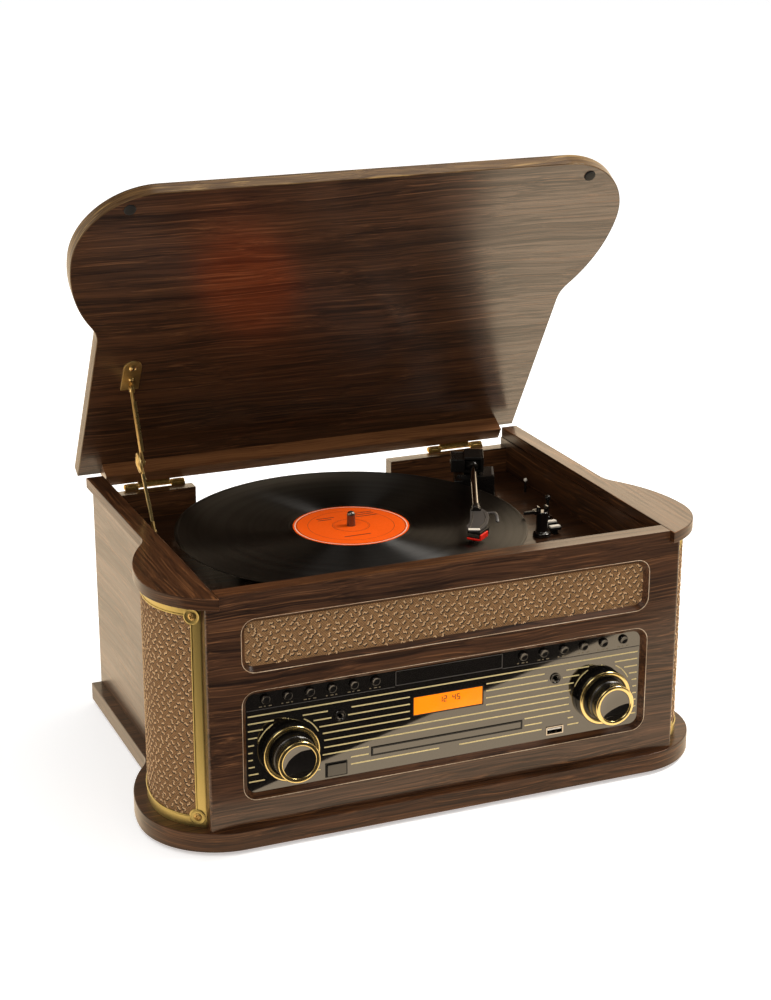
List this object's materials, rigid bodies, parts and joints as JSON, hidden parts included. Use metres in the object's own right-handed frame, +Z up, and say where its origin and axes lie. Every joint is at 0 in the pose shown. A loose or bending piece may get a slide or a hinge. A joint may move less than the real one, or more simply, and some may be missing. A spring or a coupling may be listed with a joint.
{
  "type": "record player",
  "caption": "Wooden tabletop record player with a lobed cabinet, hinged lid, cloth-covered speaker columns, control panel with knobs and a disc tray.",
  "frame": {"origin": "on the supporting surface, under the middle of the cabinet's underside", "axes": "+X to the right seen from the front, +Y towards the rear, +Z up"},
  "size_m": [0.4912, 0.3662, 0.4985],
  "materials": {
    "walnut": "satin",
    "cloth": "woven",
    "brass": "polished",
    "rubber": "matte",
    "ribs": "matte",
    "deck": "satin",
    "panel_black": "gloss",
    "display": "gloss",
    "button_black": "gloss",
    "vinyl": "gloss",
    "felt": "matte",
    "platter_metal": "satin",
    "steel": "brushed",
    "arm_black": "satin",
    "arm_tube": "polished",
    "cartridge_red": "gloss",
    "board_green": "satin",
    "core": "lacquered",
    "speaker_black": "matte",
    "socket": "bright",
    "antique_brass": "aged"
  },
  "bodies": {
    "cabinet": {"base_board": "walnut", "rubber_feet": "rubber", "side_panels": "walnut", "rear_panel": "walnut", "cap_boards": "walnut", "front_panel": "walnut", "deck_plate": "deck", "speaker_cloths": "cloth", "corner_ribs": "ribs", "corner_frames": "brass", "frame_screws": "brass", "speakers": "speaker_black", "control_panel": "panel_black", "display_window": "display", "cd_mechanism": "ribs", "front_sockets": "socket", "body_hinge_leaves": "brass", "stay_wall_bracket": "antique_brass", "motor": "steel", "drive_belt": "rubber", "tonearm_base": "arm_black", "arm_rest": "arm_black", "main_board": "board_green", "transformer": "core", "rear_sockets": "ribs"},
    "lid": {"lid_panel": "walnut", "lid_batten": "walnut", "lid_bumpers": "rubber", "lid_hinge_leaves": "brass", "stay_lid_bracket": "antique_brass"},
    "upper_link": {"stay_upper_link": "antique_brass"},
    "lower_link": {"stay_lower_link": "antique_brass"},
    "turntable": {"platter": "platter_metal", "slip_mat": "felt", "record": "vinyl"},
    "pulley": {"motor_pulley": "brass"},
    "arm_pivot": {"tonearm_pivot": "arm_black"},
    "arm": {"tonearm": "arm_tube", "cartridge": "cartridge_red"},
    "lifter": {"arm_lifter": "arm_black"},
    "cue": {"cue_lever": "arm_black"},
    "clip": {"rest_clip": "arm_black"},
    "speed": {"speed_lever": "arm_black"},
    "auto_stop": {"auto_stop_lever": "arm_black"},
    "volume": {"volume_knob": "button_black"},
    "tuning": {"tuning_knob": "button_black"},
    "power": {"power_button": "button_black"},
    "disc_tray": {"cd_tray": "panel_black"},
    "left_button_1_body": {"left_button_1": "button_black"},
    "left_button_2_body": {"left_button_2": "button_black"},
    "left_button_3_body": {"left_button_3": "button_black"},
    "left_button_4_body": {"left_button_4": "button_black"},
    "left_button_5_body": {"left_button_5": "button_black"},
    "left_button_6_body": {"left_button_6": "button_black"},
    "right_button_1_body": {"right_button_1": "button_black"},
    "right_button_2_body": {"right_button_2": "button_black"},
    "right_button_3_body": {"right_button_3": "button_black"},
    "right_button_4_body": {"right_button_4": "button_black"},
    "right_button_5_body": {"right_button_5": "button_black"},
    "right_button_6_body": {"right_button_6": "button_black"}
  },
  "joints": [
    {"name": "lid_hinge", "type": "hinge", "parent": "cabinet", "child": "lid", "pos_m": [0, 0.1835, 0.201], "axis": [1, 0, 0], "range_deg": [0, 58.8]},
    {"name": "upper_link_pivot", "type": "hinge", "parent": "lid", "child": "upper_link", "pos_m": [-0.181, 0.13014, 0.30629], "axis": [1, 0, 0], "range_deg": [0, 54.53]},
    {"name": "lower_link_pivot", "type": "hinge", "parent": "cabinet", "child": "lower_link", "pos_m": [-0.183, 0.068, 0.1975], "axis": [1, 0, 0], "range_deg": [-46.07, 0]},
    {"name": "platter_spin", "type": "hinge", "parent": "cabinet", "child": "turntable", "pos_m": [-0.0206, 0.0269, 0.1755], "axis": [0, 0, 1], "continuous": true},
    {"name": "pulley_spin", "type": "hinge", "parent": "cabinet", "child": "pulley", "pos_m": [-0.07858, 0.08488, 0.1755], "axis": [0, 0, 1], "continuous": true},
    {"name": "tonearm_swing", "type": "hinge", "parent": "cabinet", "child": "arm_pivot", "pos_m": [0.1366, 0.119, 0.2065], "axis": [0, 0, 1], "range_deg": [-17.5, 27]},
    {"name": "tonearm_lift", "type": "hinge", "parent": "arm_pivot", "child": "arm", "pos_m": [0.1366, 0.119, 0.2065], "axis": [-0.9157, 0.4019, 0], "range_deg": [0, 1.74]},
    {"name": "lifter_rise", "type": "slide", "parent": "cabinet", "child": "lifter", "axis": [0, 0, 1], "range_m": [0, 0.00102]},
    {"name": "cue_lever_turn", "type": "hinge", "parent": "cabinet", "child": "cue", "pos_m": [0.165, 0.022, 0.1785], "axis": [1, 0, 0], "range_deg": [0, 45.1]},
    {"name": "rest_clip_turn", "type": "hinge", "parent": "cabinet", "child": "clip", "pos_m": [0.13705, -0.009, 0.1981], "axis": [0, 1, 0], "range_deg": [0, 75]},
    {"name": "speed_lever_slide", "type": "slide", "parent": "cabinet", "child": "speed", "axis": [0, 1, 0], "range_m": [-0.003, 0.003]},
    {"name": "auto_stop_slide", "type": "slide", "parent": "cabinet", "child": "auto_stop", "axis": [0, 1, 0], "range_m": [-0.003, 0.003]},
    {"name": "volume_turn", "type": "hinge", "parent": "cabinet", "child": "volume", "pos_m": [-0.1385, -0.14, 0.077], "axis": [0, -1, 0], "range_deg": [-145, 145]},
    {"name": "tuning_turn", "type": "hinge", "parent": "cabinet", "child": "tuning", "pos_m": [0.1385, -0.14, 0.077], "axis": [0, -1, 0], "continuous": true},
    {"name": "power_press", "type": "slide", "parent": "cabinet", "child": "power", "axis": [0, 1, 0], "range_m": [0, 0.0015], "stiffness_N_per_m": 900, "springref_m": -0.0006},
    {"name": "tray_slide", "type": "slide", "parent": "cabinet", "child": "disc_tray", "axis": [0, -1, 0], "range_m": [0, 0.118]},
    {"name": "left_button_1_press", "type": "slide", "parent": "cabinet", "child": "left_button_1_body", "axis": [0, 1, 0], "range_m": [0, 0.001], "stiffness_N_per_m": 900, "springref_m": -0.0006},
    {"name": "left_button_2_press", "type": "slide", "parent": "cabinet", "child": "left_button_2_body", "axis": [0, 1, 0], "range_m": [0, 0.001], "stiffness_N_per_m": 900, "springref_m": -0.0006},
    {"name": "left_button_3_press", "type": "slide", "parent": "cabinet", "child": "left_button_3_body", "axis": [0, 1, 0], "range_m": [0, 0.001], "stiffness_N_per_m": 900, "springref_m": -0.0006},
    {"name": "left_button_4_press", "type": "slide", "parent": "cabinet", "child": "left_button_4_body", "axis": [0, 1, 0], "range_m": [0, 0.001], "stiffness_N_per_m": 900, "springref_m": -0.0006},
    {"name": "left_button_5_press", "type": "slide", "parent": "cabinet", "child": "left_button_5_body", "axis": [0, 1, 0], "range_m": [0, 0.001], "stiffness_N_per_m": 900, "springref_m": -0.0006},
    {"name": "left_button_6_press", "type": "slide", "parent": "cabinet", "child": "left_button_6_body", "axis": [0, 1, 0], "range_m": [0, 0.001], "stiffness_N_per_m": 900, "springref_m": -0.0006},
    {"name": "right_button_1_press", "type": "slide", "parent": "cabinet", "child": "right_button_1_body", "axis": [0, 1, 0], "range_m": [0, 0.001], "stiffness_N_per_m": 900, "springref_m": -0.0006},
    {"name": "right_button_2_press", "type": "slide", "parent": "cabinet", "child": "right_button_2_body", "axis": [0, 1, 0], "range_m": [0, 0.001], "stiffness_N_per_m": 900, "springref_m": -0.0006},
    {"name": "right_button_3_press", "type": "slide", "parent": "cabinet", "child": "right_button_3_body", "axis": [0, 1, 0], "range_m": [0, 0.001], "stiffness_N_per_m": 900, "springref_m": -0.0006},
    {"name": "right_button_4_press", "type": "slide", "parent": "cabinet", "child": "right_button_4_body", "axis": [0, 1, 0], "range_m": [0, 0.001], "stiffness_N_per_m": 900, "springref_m": -0.0006},
    {"name": "right_button_5_press", "type": "slide", "parent": "cabinet", "child": "right_button_5_body", "axis": [0, 1, 0], "range_m": [0, 0.001], "stiffness_N_per_m": 900, "springref_m": -0.0006},
    {"name": "right_button_6_press", "type": "slide", "parent": "cabinet", "child": "right_button_6_body", "axis": [0, 1, 0], "range_m": [0, 0.001], "stiffness_N_per_m": 900, "springref_m": -0.0006}
  ],
  "couplings": [
    {"joint": "upper_link_pivot", "follows": "lid_hinge", "ratio": 0.9272},
    {"joint": "lower_link_pivot", "follows": "lid_hinge", "ratio": -0.78331},
    {"joint": "pulley_spin", "follows": "platter_spin", "ratio": 12.4},
    {"joint": "cue_lever_turn", "follows": "tonearm_lift", "ratio": 25.918},
    {"joint": "lifter_rise", "follows": "tonearm_lift", "m_per_rad": 0.033}
  ]
}
